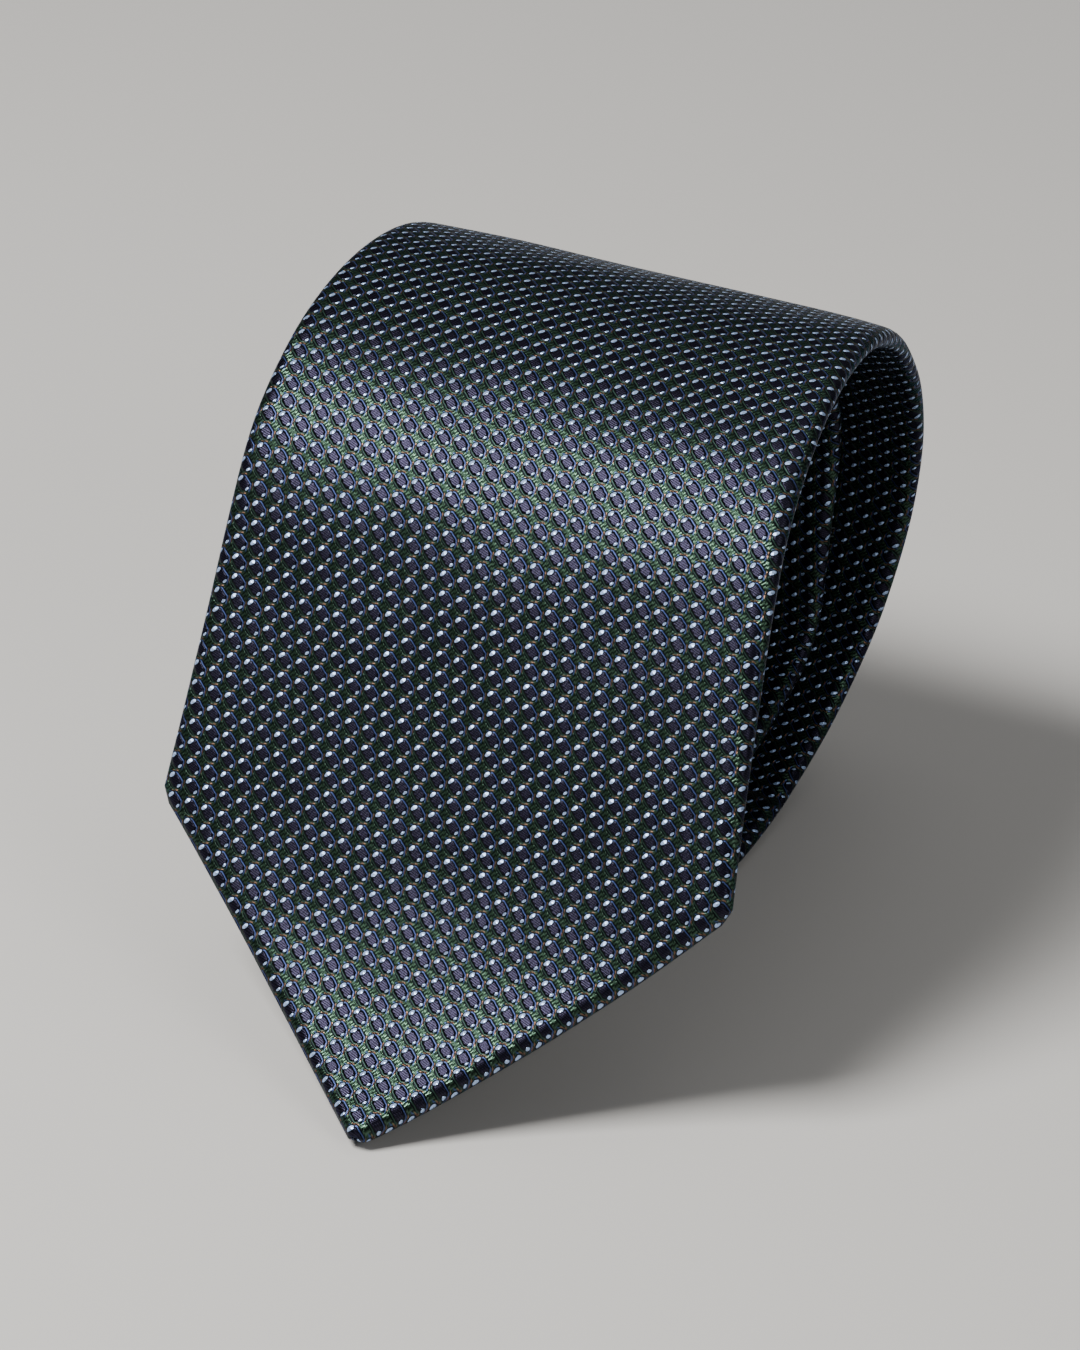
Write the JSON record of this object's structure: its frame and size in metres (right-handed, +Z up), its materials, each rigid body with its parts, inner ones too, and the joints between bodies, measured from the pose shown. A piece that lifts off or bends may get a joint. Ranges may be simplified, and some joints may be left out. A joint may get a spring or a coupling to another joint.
{
  "type": "necktie",
  "caption": "Rolled silk necktie: folded patterned shell over a wool interlining, with pointed lined blade, keeper loop and hand-sewn back seam.",
  "frame": {"origin": "middle of the rolled tie's bounding box, on the surface that it rests on", "axes": "+X along the roll's axis, -Y towards the blade's point, +Z up"},
  "size_m": [0.085, 0.1368, 0.0879],
  "materials": {
    "patterned_silk": "woven jacquard silk with a soft sheen",
    "tipping_silk": "smooth silk lining",
    "wool_interlining": "brushed wool",
    "label_tape": "woven tape, blank",
    "sewing_thread": "twisted silk thread"
  },
  "bodies": {
    "roll": {"blade_shell_roll": "patterned_silk", "neck_shell": "patterned_silk", "tail_shell": "patterned_silk", "keeper_loop": "patterned_silk", "tail_tipping": "tipping_silk", "interlining_roll": "wool_interlining", "slip_stitch_roll": "sewing_thread", "tail_bar_tack": "sewing_thread", "blade_neck_seam": "sewing_thread", "neck_tail_seam": "sewing_thread", "tail_hem_stitch_left": "sewing_thread", "tail_hem_stitch_right": "sewing_thread", "keeper_stitch_left": "sewing_thread", "keeper_stitch_right": "sewing_thread"},
    "flap": {"blade_shell_front": "patterned_silk", "interlining_front": "wool_interlining", "blade_tipping": "tipping_silk", "slip_stitch_front": "sewing_thread", "blade_bar_tack": "sewing_thread", "care_label": "label_tape", "care_label_stitch": "sewing_thread", "blade_hem_stitch_left": "sewing_thread", "blade_hem_stitch_right": "sewing_thread"}
  },
  "joints": [
    {"name": "blade_lift", "type": "hinge", "parent": "roll", "child": "flap", "pos_m": [0, -0.0103, 0.07709], "axis": [-1, 0, 0], "range_deg": [0, 60]}
  ]
}
